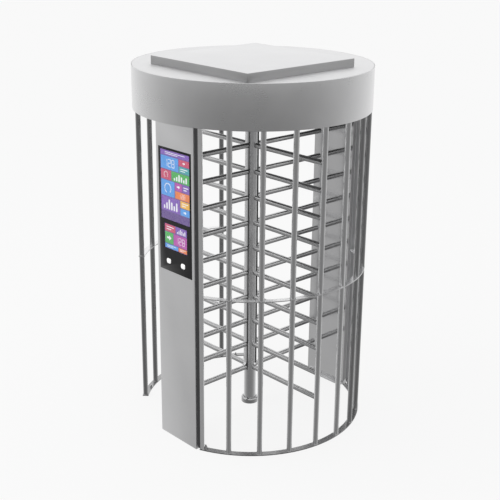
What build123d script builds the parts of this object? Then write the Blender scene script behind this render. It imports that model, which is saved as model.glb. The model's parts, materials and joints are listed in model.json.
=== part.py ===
"""Full-height visitor counter turnstile, in millimetres.

The origin is on the floor under the rotor's axis and +Z is up. People walk along +Y, from the
screen column to the plain column, on the -X side of the pole. The large cage closes the +X side.
"""

import math
import os

from build123d import *

os.makedirs("parts", exist_ok=True)

# Canopy drum
canopy_radius = 740
canopy_bottom = 2034
canopy_top = 2300
sheet = 2
cover_side = 860
cover_height = 53
cover_offset = 93
cover_corner = 3
access_side = 500
access_corner = 40

# Cages of upright bars between the base rings and the canopy
cage_radius = 720
bar_radius = 16.5
tube_wall = 2
ring_inner = 698
ring_outer = 738
base_ring_thickness = 6
mid_ring_thickness = 5
mid_ring_height = 1018
large_bar_angles = [-52.9, -37.8, -22.7, -7.6, 7.6, 22.7, 37.8, 52.9]
lane_bar_angles = [137.5, 154.5, 171.5, 188.5, 205.5, 222.5]
large_ring_half_angle = 67.5
mid_ring_half_angle = 65.0
lane_ring_half_angle = 44.0
strap_width = 48
strap_thickness = 6
strap_angle = 67.0
strap_corner = 40
strap_inset = 3
stud_radius = 5
stud_clearance = 0.3
stud_height = 26
stud_circle = 708
washer_thickness = 2
nut_across_flats = 17
nut_height = 8
large_stud_angle = 65.2
lane_stud_angle = 34.0

# Columns each side of the walking lane
column_centre = 90
column_width = 344
column_outer = 692
column_inner = 652
anchor_strip_width = 34
anchor_strip_thickness = 6
anchor_spacing_x = 300
anchor_spacing_y = 1270
anchor_hole_radius = 6.5

# Screens and buttons in the screen column
glass_width = 300
glass_bottom = 1122
glass_top = 1879
glass_thickness = 4
glass_gap = 0.5
main_display_size = (267, 421)
main_display_centre = 1655
lower_display_size = (210, 154)
lower_display_centre = 1340
display_border = 8
button_size = (35, 30)
button_corner = 7
button_pitch = 134
button_height = 1184
button_gap = 0.5
button_proud = 2.5
button_depth = 10
button_edge = 1.2
button_flange = 2
board_depth = 20
board_thickness = 1.6
switch_radius = 4
switch_height = 7.5

# Rotor: a pole, four wings of level arms and four corner strips
pole_radius = 41
pole_wall = 3
pole_bottom = 12
pole_top = 2085
pole_clearance = 8
arm_radius = 16.5
arm_tip = 612
cap_thickness = 4
cap_plug = 10
cap_taper = 25
arm_lowest = 262
arm_spacing = 169.5
arm_count = 10
wing_count = 4
corner_strip_radius = 26
corner_strip_pitch = 18
root_fillet = 28
root_web = 16

# Foot bearing
foot_radius = 57
foot_height = 34
pivot_radius = 15
running_gap = 0.05
foot_plug_length = 58
foot_round = 12
pivot_flange = 6
pivot_length = 46

# Drive head inside the canopy
beam_height = 60
beam_width = 40
beam_wall = 3
beam_offset = 170
plate_side = 420
plate_thickness = 8
shaft_radius = 20
cam_radius = 95
cam_thickness = 12
pawl_pivot = (125, -75)
pawl_travel = 12
pin_radius = 6
spindle_top = 2196
housing_bolt_radius = 62
bearing_outer = 40
bearing_width = 18
roller_radius = 10
roller_seat = 96.8
lever_pivot = (-29.5, -142.7)
lever_lift = 6.5
solenoid_x = 186
solenoid_y = -35
plunger_tip = 142.9
plunger_radius = 5
disc_height = 2186

mid_floor = canopy_bottom + sheet + 1
beam_top = mid_floor + beam_height
plate_top = beam_top + plate_thickness
cam_bottom = plate_top + 40
lever_bottom = cam_bottom + cam_thickness + 3
bearing_bottom = plate_top + 8
arm_levels = [arm_lowest + arm_spacing * index for index in range(arm_count)]
strap_radius = ring_outer - strap_inset - strap_thickness / 2
bottom = (Align.CENTER, Align.CENTER, Align.MIN)


def polar(radius, angle):
    """A point in plan at a radius and an angle in degrees."""
    return (radius * math.cos(math.radians(angle)), radius * math.sin(math.radians(angle)))


def make_canopy():
    """The drum: a rolled skirt between a top plate and a bottom plate."""
    with BuildPart() as canopy_skirt:
        with BuildSketch(Plane.XY.offset(canopy_bottom)):
            Circle(canopy_radius)
            Circle(canopy_radius - sheet, mode=Mode.SUBTRACT)
        extrude(amount=canopy_top - canopy_bottom)
    canopy_skirt.part.label = "canopy_skirt"
    export_step(canopy_skirt.part, "parts/canopy_skirt.step")

    with BuildPart() as canopy_top_plate:
        with BuildSketch(Plane.XY.offset(canopy_top - sheet)):
            Circle(canopy_radius - sheet)
            RectangleRounded(access_side, access_side, access_corner, mode=Mode.SUBTRACT)
        extrude(amount=sheet)
    canopy_top_plate.part.label = "canopy_top_plate"
    export_step(canopy_top_plate.part, "parts/canopy_top_plate.step")

    with BuildPart() as canopy_bottom_plate:
        with BuildSketch(Plane.XY.offset(canopy_bottom)):
            Circle(canopy_radius - sheet)
            Circle(pole_radius + pole_clearance, mode=Mode.SUBTRACT)
        extrude(amount=mid_floor - canopy_bottom)
    canopy_bottom_plate.part.label = "canopy_bottom_plate"
    export_step(canopy_bottom_plate.part, "parts/canopy_bottom_plate.step")


def make_top_cover():
    """The square service cover on the drum, a folded sheet tray open underneath."""
    centre = Plane(origin=(cover_offset, -cover_offset, canopy_top))
    with BuildPart() as top_cover_box:
        with BuildSketch(centre):
            Rectangle(cover_side, cover_side)
        extrude(amount=cover_height)
        fillet(top_cover_box.edges().filter_by(Axis.Z), radius=cover_corner)
        lower_face = top_cover_box.faces().sort_by(Axis.Z).first
        offset(amount=-sheet, openings=lower_face)
    top_cover_box.part.label = "top_cover_box"
    export_step(top_cover_box.part, "parts/top_cover_box.step")


def make_canopy_beams():
    """Two long box beams from column to column and two short ones between them."""
    with BuildPart() as canopy_beams:
        for side in (-1, 1):
            beam_end = Plane(origin=(side * beam_offset, 0, mid_floor + beam_height / 2), z_dir=(0, 1, 0))
            with BuildSketch(beam_end):
                Rectangle(beam_width, beam_height)
                Rectangle(beam_width - 2 * beam_wall, beam_height - 2 * beam_wall, mode=Mode.SUBTRACT)
            extrude(amount=column_inner, both=True)
        for side in (-1, 1):
            beam_end = Plane(
                origin=(0, side * beam_offset, mid_floor + beam_height / 2),
                x_dir=(0, 1, 0),
                z_dir=(1, 0, 0),
            )
            with BuildSketch(beam_end):
                Rectangle(beam_width, beam_height)
                Rectangle(beam_width - 2 * beam_wall, beam_height - 2 * beam_wall, mode=Mode.SUBTRACT)
            extrude(amount=beam_offset - beam_width / 2, both=True)
    canopy_beams.part.label = "canopy_beams"
    export_step(canopy_beams.part, "parts/canopy_beams.step")


def ring_plan(start_angle, end_angle):
    """The plan of a flat ring between two angles."""
    with BuildSketch() as ring:
        with BuildLine():
            CenterArc((0, 0), ring_inner, start_angle, end_angle - start_angle)
            CenterArc((0, 0), ring_outer, start_angle, end_angle - start_angle)
            Line(polar(ring_inner, start_angle), polar(ring_outer, start_angle))
            Line(polar(ring_inner, end_angle), polar(ring_outer, end_angle))
        make_face()
    return ring.sketch


def make_cage_rings(name, bar_angles, centre_angle, base_half_angle, mid_half_angle):
    """The flat base ring on the floor and the flat ring at mid height of one cage."""
    base_plan = ring_plan(centre_angle - base_half_angle, centre_angle + base_half_angle)
    mid_plan = ring_plan(centre_angle - mid_half_angle, centre_angle + mid_half_angle)
    with BuildPart() as base_ring:
        with BuildSketch(Plane.XY):
            add(base_plan)
            with Locations(*stud_positions(name)):
                Circle(stud_radius + stud_clearance, mode=Mode.SUBTRACT)
        extrude(amount=base_ring_thickness)
    base_ring.part.label = f"{name}_base_ring"
    export_step(base_ring.part, f"parts/{name}_base_ring.step")

    with BuildPart() as mid_ring:
        with BuildSketch(Plane.XY.offset(mid_ring_height)):
            add(mid_plan)
            with Locations(*[polar(cage_radius, angle) for angle in bar_angles]):
                Circle(bar_radius, mode=Mode.SUBTRACT)
        extrude(amount=mid_ring_thickness)
    mid_ring.part.label = f"{name}_mid_ring"
    export_step(mid_ring.part, f"parts/{name}_mid_ring.step")


def stud_positions(name):
    """The anchor studs at the two ends of a cage's base ring."""
    if name == "large_cage":
        return [polar(stud_circle, side * large_stud_angle) for side in (-1, 1)]
    return [polar(stud_circle, 180 + side * lane_stud_angle) for side in (-1, 1)]


def make_cage_bars():
    """The eight separate bars of the large cage and the six bars of the lane cage."""
    groups = [
        (f"large_cage_bar_{index}", [polar(cage_radius, angle)])
        for index, angle in enumerate(large_bar_angles, start=1)
    ]
    groups.append(("lane_cage_bars", [polar(cage_radius, angle) for angle in lane_bar_angles]))
    for name, positions in groups:
        with BuildPart() as bars:
            with BuildSketch(Plane.XY.offset(base_ring_thickness)):
                with Locations(*positions):
                    Circle(bar_radius)
                    Circle(bar_radius - tube_wall, mode=Mode.SUBTRACT)
            extrude(amount=canopy_bottom - base_ring_thickness)
        bars.part.label = name
        export_step(bars.part, f"parts/{name}.step")


def make_end_straps():
    """Flat upright straps beside the columns, rounded at the foot corner next to the column."""
    outward = Vector(*polar(1, strap_angle))
    strap_height = canopy_bottom - base_ring_thickness
    inner_face = Plane(
        origin=outward * (strap_radius - strap_thickness / 2),
        x_dir=(-outward.Y, outward.X, 0),
        z_dir=outward,
    )
    with BuildPart() as end_straps:
        with BuildSketch(inner_face) as outline:
            with Locations((0, base_ring_thickness + strap_height / 2)):
                Rectangle(strap_width, strap_height)
            foot_corners = outline.vertices().group_by(Axis.Y)[0].sort_by(Axis.X)
            fillet(foot_corners.last, radius=strap_corner)
        extrude(amount=strap_thickness)
        mirror(about=Plane.XZ)
    end_straps.part.label = "end_straps"
    export_step(end_straps.part, "parts/end_straps.step")


def make_ring_anchor_studs():
    """Threaded studs with a washer and a hexagon nut at the ends of the base rings."""
    positions = stud_positions("large_cage") + stud_positions("lane_cage")
    with BuildPart() as ring_anchor_studs:
        with Locations(*positions):
            Cylinder(stud_radius, stud_height, align=bottom)
        with BuildSketch(Plane.XY.offset(base_ring_thickness)):
            with Locations(*positions):
                Circle(stud_radius * 2)
        extrude(amount=washer_thickness)
        with BuildSketch(Plane.XY.offset(base_ring_thickness + washer_thickness)):
            with Locations(*positions):
                RegularPolygon(nut_across_flats / 2, 6, major_radius=False)
        extrude(amount=nut_height)
    ring_anchor_studs.part.label = "ring_anchor_studs"
    export_step(ring_anchor_studs.part, "parts/ring_anchor_studs.step")


def make_screen_column():
    """The sheet-metal column with the screens, open towards the rotor and closed by a cover."""
    front = Plane(origin=(column_centre, -column_outer, 0), x_dir=(1, 0, 0), z_dir=(0, -1, 0))
    mid_depth = (column_outer + column_inner) / 2
    glass_height = glass_top - glass_bottom
    glass_middle = (glass_top + glass_bottom) / 2
    with BuildPart() as screen_column_housing:
        with BuildSketch(Plane(origin=(column_centre, -mid_depth, 0))):
            Rectangle(column_width, column_outer - column_inner)
        extrude(amount=canopy_bottom)
        offset(amount=-sheet, openings=screen_column_housing.faces().sort_by(Axis.Y).last)
        with BuildSketch(front):
            with Locations((0, glass_middle)):
                Rectangle(glass_width + 2 * glass_gap, glass_height + 2 * glass_gap)
        extrude(amount=-glass_thickness, mode=Mode.SUBTRACT)
    screen_column_housing.part.label = "screen_column_housing"
    export_step(screen_column_housing.part, "parts/screen_column_housing.step")

    with BuildPart() as screen_column_rear_cover:
        with BuildSketch(Plane(origin=(column_centre, -column_inner - sheet / 2, sheet))):
            Rectangle(column_width - 2 * sheet, sheet)
        extrude(amount=canopy_bottom - 2 * sheet)
    screen_column_rear_cover.part.label = "screen_column_rear_cover"
    export_step(screen_column_rear_cover.part, "parts/screen_column_rear_cover.step")

    with BuildPart() as screen_glass:
        with BuildSketch(front):
            with Locations((0, glass_middle)):
                Rectangle(glass_width, glass_height)
            with Locations((0, button_height)):
                with GridLocations(button_pitch, 0, 2, 1):
                    RectangleRounded(
                        button_size[0] + 2 * button_gap,
                        button_size[1] + 2 * button_gap,
                        button_corner + button_gap,
                        mode=Mode.SUBTRACT,
                    )
        extrude(amount=-glass_thickness)
    screen_glass.part.label = "screen_glass"
    export_step(screen_glass.part, "parts/screen_glass.step")

    make_displays(front)
    make_controller_board(front.offset(-board_depth))
    make_buttons(front)


def make_displays(front):
    """The portrait display and the smaller landscape one, behind the glass."""
    displays = (
        ("main_display", main_display_size, main_display_centre, 12),
        ("lower_display", lower_display_size, lower_display_centre, 10),
    )
    for name, size, height, depth in displays:
        with BuildPart() as display:
            with BuildSketch(front.offset(-glass_thickness)):
                with Locations((0, height)):
                    RectangleRounded(size[0] + display_border, size[1] + display_border, 3)
            extrude(amount=-depth)
        display.part.label = name
        export_step(display.part, f"parts/{name}.step")


def make_controller_board(board_face):
    """The circuit board behind the buttons, with two switches and four chips."""
    board_middle = button_height - 40
    chip_size = (40, 30, 5)
    with BuildPart() as controller_board:
        with BuildSketch(board_face):
            with Locations((0, board_middle)):
                RectangleRounded(250, 190, 4)
        extrude(amount=-board_thickness)
        with BuildSketch(board_face):
            with Locations((0, button_height)):
                with GridLocations(button_pitch, 0, 2, 1):
                    Circle(switch_radius)
        extrude(amount=switch_height)
        with BuildSketch(board_face.offset(-board_thickness)):
            with Locations((0, board_middle)):
                with GridLocations(90, 80, 2, 2):
                    Rectangle(chip_size[0], chip_size[1])
        extrude(amount=-chip_size[2])
    controller_board.part.label = "controller_board"
    export_step(controller_board.part, "parts/controller_board.step")


def make_buttons(front):
    """Two push buttons in the glass, each held by a flange behind it."""
    for name, side in (("left_button", -1), ("right_button", 1)):
        with BuildPart() as button:
            with BuildSketch(front.offset(-button_depth)):
                with Locations((side * button_pitch / 2, button_height)):
                    RectangleRounded(*button_size, button_corner)
            extrude(amount=button_depth + button_proud)
            outer_edges = button.faces().sort_by(Axis.Y).first.edges()
            fillet(outer_edges, radius=button_edge)
            with BuildSketch(front.offset(-button_depth + button_flange)):
                with Locations((side * button_pitch / 2, button_height)):
                    RectangleRounded(
                        button_size[0] + 3 * button_flange,
                        button_size[1] + 3 * button_flange,
                        button_corner + button_flange,
                    )
            extrude(amount=button_flange)
        button.part.label = name
        export_step(button.part, f"parts/{name}.step")


def make_plain_column():
    """The column on the far side of the lane, closed towards the rotor by a polished panel."""
    mid_depth = (column_outer + column_inner) / 2
    with BuildPart() as plain_column_housing:
        with BuildSketch(Plane(origin=(column_centre, mid_depth, 0))):
            Rectangle(column_width, column_outer - column_inner)
        extrude(amount=canopy_bottom)
        offset(amount=-sheet, openings=plain_column_housing.faces().sort_by(Axis.Y).first)
    plain_column_housing.part.label = "plain_column_housing"
    export_step(plain_column_housing.part, "parts/plain_column_housing.step")

    with BuildPart() as polished_inner_panel:
        with BuildSketch(Plane(origin=(column_centre, column_inner + sheet / 2, sheet))):
            Rectangle(column_width - 2 * sheet, sheet)
        extrude(amount=canopy_bottom - 2 * sheet)
    polished_inner_panel.part.label = "polished_inner_panel"
    export_step(polished_inner_panel.part, "parts/polished_inner_panel.step")


def make_floor_anchor_strips():
    """The flat strips on the floor inside both columns, each with two anchor holes."""
    strip_centre = column_inner - anchor_strip_width / 2
    with BuildPart() as floor_anchor_strips:
        with BuildSketch(Plane.XY):
            with Locations((column_centre, strip_centre), (column_centre, -strip_centre)):
                Rectangle(column_width, anchor_strip_width)
            with Locations((column_centre, 0)):
                with GridLocations(anchor_spacing_x, anchor_spacing_y, 2, 2):
                    Circle(anchor_hole_radius, mode=Mode.SUBTRACT)
        extrude(amount=anchor_strip_thickness)
    floor_anchor_strips.part.label = "floor_anchor_strips"
    export_step(floor_anchor_strips.part, "parts/floor_anchor_strips.step")


def make_pole():
    """The rotor's centre tube with its spindle at the top and its plug at the foot."""
    with BuildPart() as rotor_pole:
        with BuildSketch(Plane.XY.offset(pole_bottom)):
            Circle(pole_radius)
            Circle(pole_radius - pole_wall, mode=Mode.SUBTRACT)
        extrude(amount=pole_top - pole_bottom)
    rotor_pole.part.label = "rotor_pole"
    export_step(rotor_pole.part, "parts/rotor_pole.step")

    plug_length = 65
    shoulder = 7
    shoulder_top = pole_top + shoulder
    steps = (
        (pole_top - plug_length, pole_radius - pole_wall, plug_length),
        (pole_top, pole_radius - 2 * pole_wall, shoulder),
        (shoulder_top, shaft_radius, spindle_top - shoulder_top),
    )
    with BuildPart() as rotor_spindle:
        for start, radius, length in steps:
            with BuildSketch(Plane.XY.offset(start)):
                Circle(radius)
            extrude(amount=length)
    rotor_spindle.part.label = "rotor_spindle"
    export_step(rotor_spindle.part, "parts/rotor_spindle.step")

    with BuildPart() as rotor_foot_plug:
        with BuildSketch(Plane.XY.offset(pole_bottom)):
            Circle(pole_radius - pole_wall)
            Circle(pivot_radius + running_gap, mode=Mode.SUBTRACT)
        extrude(amount=foot_plug_length)
    rotor_foot_plug.part.label = "rotor_foot_plug"
    export_step(rotor_foot_plug.part, "parts/rotor_foot_plug.step")


def pole_and_corner_plan():
    """The plan of the pole and the four corner strips, which the arms are cut to."""
    with BuildSketch() as plan:
        Circle(pole_radius)
        with PolarLocations(corner_strip_pitch, wing_count, 45):
            Circle(corner_strip_radius)
    return plan.sketch


def make_wings():
    """Four wings, each of ten level tubes saddled to the pole, and the caps on their tips."""
    for index in range(wing_count):
        outward = Vector(*polar(1, index * 360 / wing_count))
        with BuildPart() as wing:
            for level in arm_levels:
                with BuildSketch(Plane(origin=(0, 0, level), z_dir=outward).offset(pole_radius / 2)):
                    Circle(arm_radius)
                    Circle(arm_radius - tube_wall, mode=Mode.SUBTRACT)
                extrude(amount=arm_tip - pole_radius / 2)
            extrude(pole_and_corner_plan(), amount=canopy_bottom, mode=Mode.SUBTRACT)
        wing.part.label = f"rotor_wing_{index + 1}"
        export_step(wing.part, f"parts/rotor_wing_{index + 1}.step")

    with BuildPart() as wing_end_caps:
        for index in range(wing_count):
            outward = Vector(*polar(1, index * 360 / wing_count))
            for level in arm_levels:
                arm_end = Plane(origin=(0, 0, level), z_dir=outward).offset(arm_tip)
                with BuildSketch(arm_end):
                    Circle(arm_radius - tube_wall)
                extrude(amount=-cap_plug)
                with BuildSketch(arm_end):
                    Circle(arm_radius)
                extrude(amount=cap_thickness, taper=cap_taper)
    wing_end_caps.part.label = "wing_end_caps"
    export_step(wing_end_caps.part, "parts/wing_end_caps.step")


def make_corner_strips():
    """The upright strip in each corner between two wings, and the rounded webs at the lowest arms."""
    strip_bottom = arm_lowest - arm_radius
    strip_top = canopy_bottom - 4
    web_top = arm_lowest + arm_radius + root_fillet
    with BuildPart() as root_webs:
        for index in range(wing_count):
            outward = Vector(*polar(1, index * 360 / wing_count))
            upright = Plane(origin=(0, 0, 0), x_dir=outward, z_dir=(outward.Y, -outward.X, 0))
            with BuildSketch(upright):
                with BuildLine():
                    Polyline(
                        (pole_radius, web_top),
                        (pole_radius / 2, web_top),
                        (pole_radius / 2, arm_lowest),
                        (pole_radius + root_fillet, arm_lowest),
                        (pole_radius + root_fillet, web_top - root_fillet),
                    )
                    CenterArc((pole_radius + root_fillet, web_top), root_fillet, 180, 90)
                make_face()
            extrude(amount=root_web / 2, both=True)
            with BuildSketch(Plane(origin=(0, 0, arm_lowest), z_dir=outward)):
                Circle(arm_radius)
            extrude(amount=arm_tip, mode=Mode.SUBTRACT)
        extrude(pole_and_corner_plan(), amount=canopy_bottom, mode=Mode.SUBTRACT)
    with BuildPart() as rotor_corner_strips:
        with BuildSketch(Plane.XY.offset(strip_bottom)):
            with PolarLocations(corner_strip_pitch, wing_count, 45):
                Circle(corner_strip_radius)
            Circle(pole_radius, mode=Mode.SUBTRACT)
        extrude(amount=strip_top - strip_bottom)
        add(root_webs.part)
    rotor_corner_strips.part.label = "rotor_corner_strips"
    export_step(rotor_corner_strips.part, "parts/rotor_corner_strips.step")


def make_foot():
    """The chromed collar on the floor with the pivot pin and thrust washer inside it."""
    with BuildPart() as foot_collar:
        with BuildSketch(Plane.XY):
            Circle(foot_radius)
            Circle(pole_radius + 1, mode=Mode.SUBTRACT)
        extrude(amount=foot_height)
        rim = foot_collar.edges().group_by(Axis.Z)[-1].sort_by(SortBy.LENGTH).last
        fillet(rim, radius=foot_round)
    foot_collar.part.label = "foot_collar"
    export_step(foot_collar.part, "parts/foot_collar.step")

    with BuildPart() as foot_pivot_pin:
        with BuildSketch(Plane.XY):
            Circle(pole_radius)
        extrude(amount=pivot_flange)
        with BuildSketch(Plane.XY.offset(pivot_flange)):
            Circle(pivot_radius)
        extrude(amount=pivot_length)
        chamfer(foot_pivot_pin.faces().sort_by(Axis.Z).last.edges(), length=1.5)
    foot_pivot_pin.part.label = "foot_pivot_pin"
    export_step(foot_pivot_pin.part, "parts/foot_pivot_pin.step")

    with BuildPart() as foot_thrust_washer:
        with BuildSketch(Plane.XY.offset(pivot_flange)):
            Circle(pole_radius - pole_wall)
            Circle(pivot_radius + running_gap, mode=Mode.SUBTRACT)
        extrude(amount=pole_bottom - pivot_flange - running_gap)
    foot_thrust_washer.part.label = "foot_thrust_washer"
    export_step(foot_thrust_washer.part, "parts/foot_thrust_washer.step")


def make_drive_head():
    """The mechanism plate on the beams, with the top bearing in its bolted housing."""
    bolt_hole = 4.25
    bolt_radius = 4
    bolt_engaged = 4
    bolt_across_flats = 13
    bolt_head = 5.3
    flange = 10
    housing_wall = 10
    housing_height = 30
    seat_step = 8
    with BuildPart() as mechanism_plate:
        with BuildSketch(Plane.XY.offset(beam_top)):
            RectangleRounded(plate_side, plate_side, 20)
            Circle(pole_radius + pole_clearance, mode=Mode.SUBTRACT)
            with PolarLocations(housing_bolt_radius, 4, 45):
                Circle(bolt_hole, mode=Mode.SUBTRACT)
        extrude(amount=plate_thickness)
    mechanism_plate.part.label = "mechanism_plate"
    export_step(mechanism_plate.part, "parts/mechanism_plate.step")

    with BuildPart() as bearing_housing:
        with BuildSketch(Plane.XY.offset(plate_top)):
            Circle(housing_bolt_radius + 14)
            with PolarLocations(housing_bolt_radius, 4, 45):
                Circle(bolt_hole, mode=Mode.SUBTRACT)
        extrude(amount=flange)
        with BuildSketch(Plane.XY.offset(plate_top + flange)):
            Circle(bearing_outer + housing_wall)
        extrude(amount=housing_height - flange)
        with BuildSketch(Plane.XY.offset(plate_top)):
            Circle(bearing_outer - seat_step)
        extrude(amount=housing_height, mode=Mode.SUBTRACT)
        with BuildSketch(Plane.XY.offset(bearing_bottom)):
            Circle(bearing_outer)
        extrude(amount=housing_height, mode=Mode.SUBTRACT)
    bearing_housing.part.label = "bearing_housing"
    export_step(bearing_housing.part, "parts/bearing_housing.step")

    race_wall = 6
    ball_circle = (bearing_outer + shaft_radius) / 2
    ball_radius = 5
    ball_count = 12
    race_middle = bearing_bottom + bearing_width / 2
    with BuildPart() as top_bearing:
        with BuildSketch(Plane.XY.offset(bearing_bottom)):
            Circle(bearing_outer)
            Circle(bearing_outer - race_wall, mode=Mode.SUBTRACT)
            Circle(shaft_radius + race_wall)
            Circle(shaft_radius + running_gap, mode=Mode.SUBTRACT)
        extrude(amount=bearing_width)
        with Locations((0, 0, race_middle)):
            Torus(ball_circle, ball_radius + running_gap, mode=Mode.SUBTRACT)
            with PolarLocations(ball_circle, ball_count):
                Sphere(ball_radius)
    top_bearing.part.label = "top_bearing"
    export_step(top_bearing.part, "parts/top_bearing.step")

    with BuildPart() as mechanism_bolts:
        with BuildSketch(Plane.XY.offset(beam_top - bolt_engaged)):
            with PolarLocations(housing_bolt_radius, 4, 45):
                Circle(bolt_radius)
        extrude(amount=plate_thickness + flange + bolt_engaged)
        with BuildSketch(Plane.XY.offset(plate_top + flange)):
            with PolarLocations(housing_bolt_radius, 4, 45):
                RegularPolygon(bolt_across_flats / 2, 6, major_radius=False)
        extrude(amount=bolt_head)
    mechanism_bolts.part.label = "mechanism_bolts"
    export_step(mechanism_bolts.part, "parts/mechanism_bolts.step")


def make_index_cam():
    """The cam with four roller notches and four lock notches, and the slotted counter disc."""
    notch_circle = cam_radius + 2
    notch_radius = roller_radius + 1.5
    lock_notch = 20
    hub_radius = 32
    hub_start = cam_bottom - 4
    hub_height = cam_thickness + 12
    with BuildPart() as index_cam:
        with BuildSketch(Plane.XY.offset(cam_bottom)):
            Circle(cam_radius)
            with PolarLocations(notch_circle, wing_count, 45):
                Circle(notch_radius, mode=Mode.SUBTRACT)
            with PolarLocations(cam_radius - 4, wing_count):
                Rectangle(lock_notch, lock_notch, mode=Mode.SUBTRACT)
        extrude(amount=cam_thickness)
        with BuildSketch(Plane.XY.offset(hub_start)):
            Circle(hub_radius)
        extrude(amount=hub_height)
        with BuildSketch(Plane.XY.offset(hub_start)):
            Circle(shaft_radius)
        extrude(amount=hub_height, mode=Mode.SUBTRACT)
    index_cam.part.label = "index_cam"
    export_step(index_cam.part, "parts/index_cam.step")

    disc_radius = 50
    disc_thickness = 2
    disc_hub_height = 8
    slot_circle = 43
    with BuildPart() as counter_disc:
        with BuildSketch(Plane.XY.offset(disc_height)):
            Circle(disc_radius)
            with PolarLocations(slot_circle, 24):
                Rectangle(8, 4, mode=Mode.SUBTRACT)
        extrude(amount=disc_thickness)
        with BuildSketch(Plane.XY.offset(disc_height - disc_hub_height)):
            Circle(shaft_radius + 7)
        extrude(amount=disc_hub_height)
        with BuildSketch(Plane.XY.offset(disc_height - disc_hub_height)):
            Circle(shaft_radius)
        extrude(amount=disc_hub_height + disc_thickness, mode=Mode.SUBTRACT)
    counter_disc.part.label = "counter_disc"
    export_step(counter_disc.part, "parts/counter_disc.step")


def make_counter_sensor():
    """The fork sensor that reads the counter disc, on its bracket."""
    sensor_width = 24
    fork_front = 38
    slot_end = 59
    fork_back = 74
    post_front = 114
    post_back = 130
    slot_bottom = disc_height - 3
    slot_top = disc_height + 5
    fork_bottom = disc_height - 10
    fork_top = disc_height + 12
    bracket_top = disc_height + 1
    with BuildPart() as counter_sensor:
        with BuildSketch(Plane.YZ):
            with BuildLine():
                Polyline(
                    (post_back, plate_top),
                    (post_back, bracket_top),
                    (fork_back, bracket_top),
                    (fork_back, fork_top),
                    (fork_front, fork_top),
                    (fork_front, slot_top),
                    (slot_end, slot_top),
                    (slot_end, slot_bottom),
                    (fork_front, slot_bottom),
                    (fork_front, fork_bottom),
                    (post_front, fork_bottom),
                    (post_front, plate_top),
                    close=True,
                )
            make_face()
        extrude(amount=sensor_width / 2, both=True)
    counter_sensor.part.label = "counter_sensor"
    export_step(counter_sensor.part, "parts/counter_sensor.step")


def make_locks():
    """Two lock pawls released from the cam, each with the plunger and solenoid that work it."""
    push_height = cam_bottom + cam_thickness / 2
    hub_radius = 15
    tooth_middle = (-22, -pawl_pivot[1] - 1)
    head_radius = 9
    head_thickness = 4
    rod_length = 46
    for index, side in ((1, 1), (2, -1)):
        turn = math.radians(-pawl_travel)
        pivot = (side * pawl_pivot[0], side * pawl_pivot[1])
        released = Plane(
            origin=(*pivot, cam_bottom),
            x_dir=(side * math.cos(turn), side * math.sin(turn), 0),
        )
        with BuildPart() as lock_pawl:
            with BuildSketch(released):
                with Locations((-3, 42)):
                    Rectangle(20, 88)
                Circle(hub_radius)
                with Locations(tooth_middle):
                    Rectangle(38, 12)
                Circle(pin_radius + running_gap, mode=Mode.SUBTRACT)
            extrude(amount=cam_thickness)
        lock_pawl.part.label = f"lock_pawl_{index}"
        export_step(lock_pawl.part, f"parts/lock_pawl_{index}.step")

        push_line = Plane(origin=(side * plunger_tip, side * solenoid_y, push_height), z_dir=(side, 0, 0))
        with BuildPart() as solenoid_plunger:
            with BuildSketch(push_line):
                Circle(head_radius)
            extrude(amount=head_thickness)
            with BuildSketch(push_line.offset(head_thickness)):
                Circle(plunger_radius)
            extrude(amount=rod_length)
        solenoid_plunger.part.label = f"solenoid_plunger_{index}"
        export_step(solenoid_plunger.part, f"parts/solenoid_plunger_{index}.step")

    foot_size = (30, 24, 28)
    body_size = (44, 34, 36)
    bore_start = 160
    bore_length = 42
    with BuildPart() as lock_solenoids:
        for side in (-1, 1):
            middle = (side * solenoid_x, side * solenoid_y)
            with BuildSketch(Plane(origin=(*middle, plate_top))):
                Rectangle(foot_size[0], foot_size[1])
            extrude(amount=foot_size[2])
            with BuildSketch(Plane(origin=(*middle, plate_top + foot_size[2]))):
                RectangleRounded(body_size[0], body_size[1], 3)
            extrude(amount=body_size[2])
            bore = Plane(origin=(side * bore_start, side * solenoid_y, push_height), z_dir=(side, 0, 0))
            with BuildSketch(bore):
                Circle(plunger_radius + running_gap)
            extrude(amount=bore_length, mode=Mode.SUBTRACT)
    lock_solenoids.part.label = "lock_solenoids"
    export_step(lock_solenoids.part, "parts/lock_solenoids.step")


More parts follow.
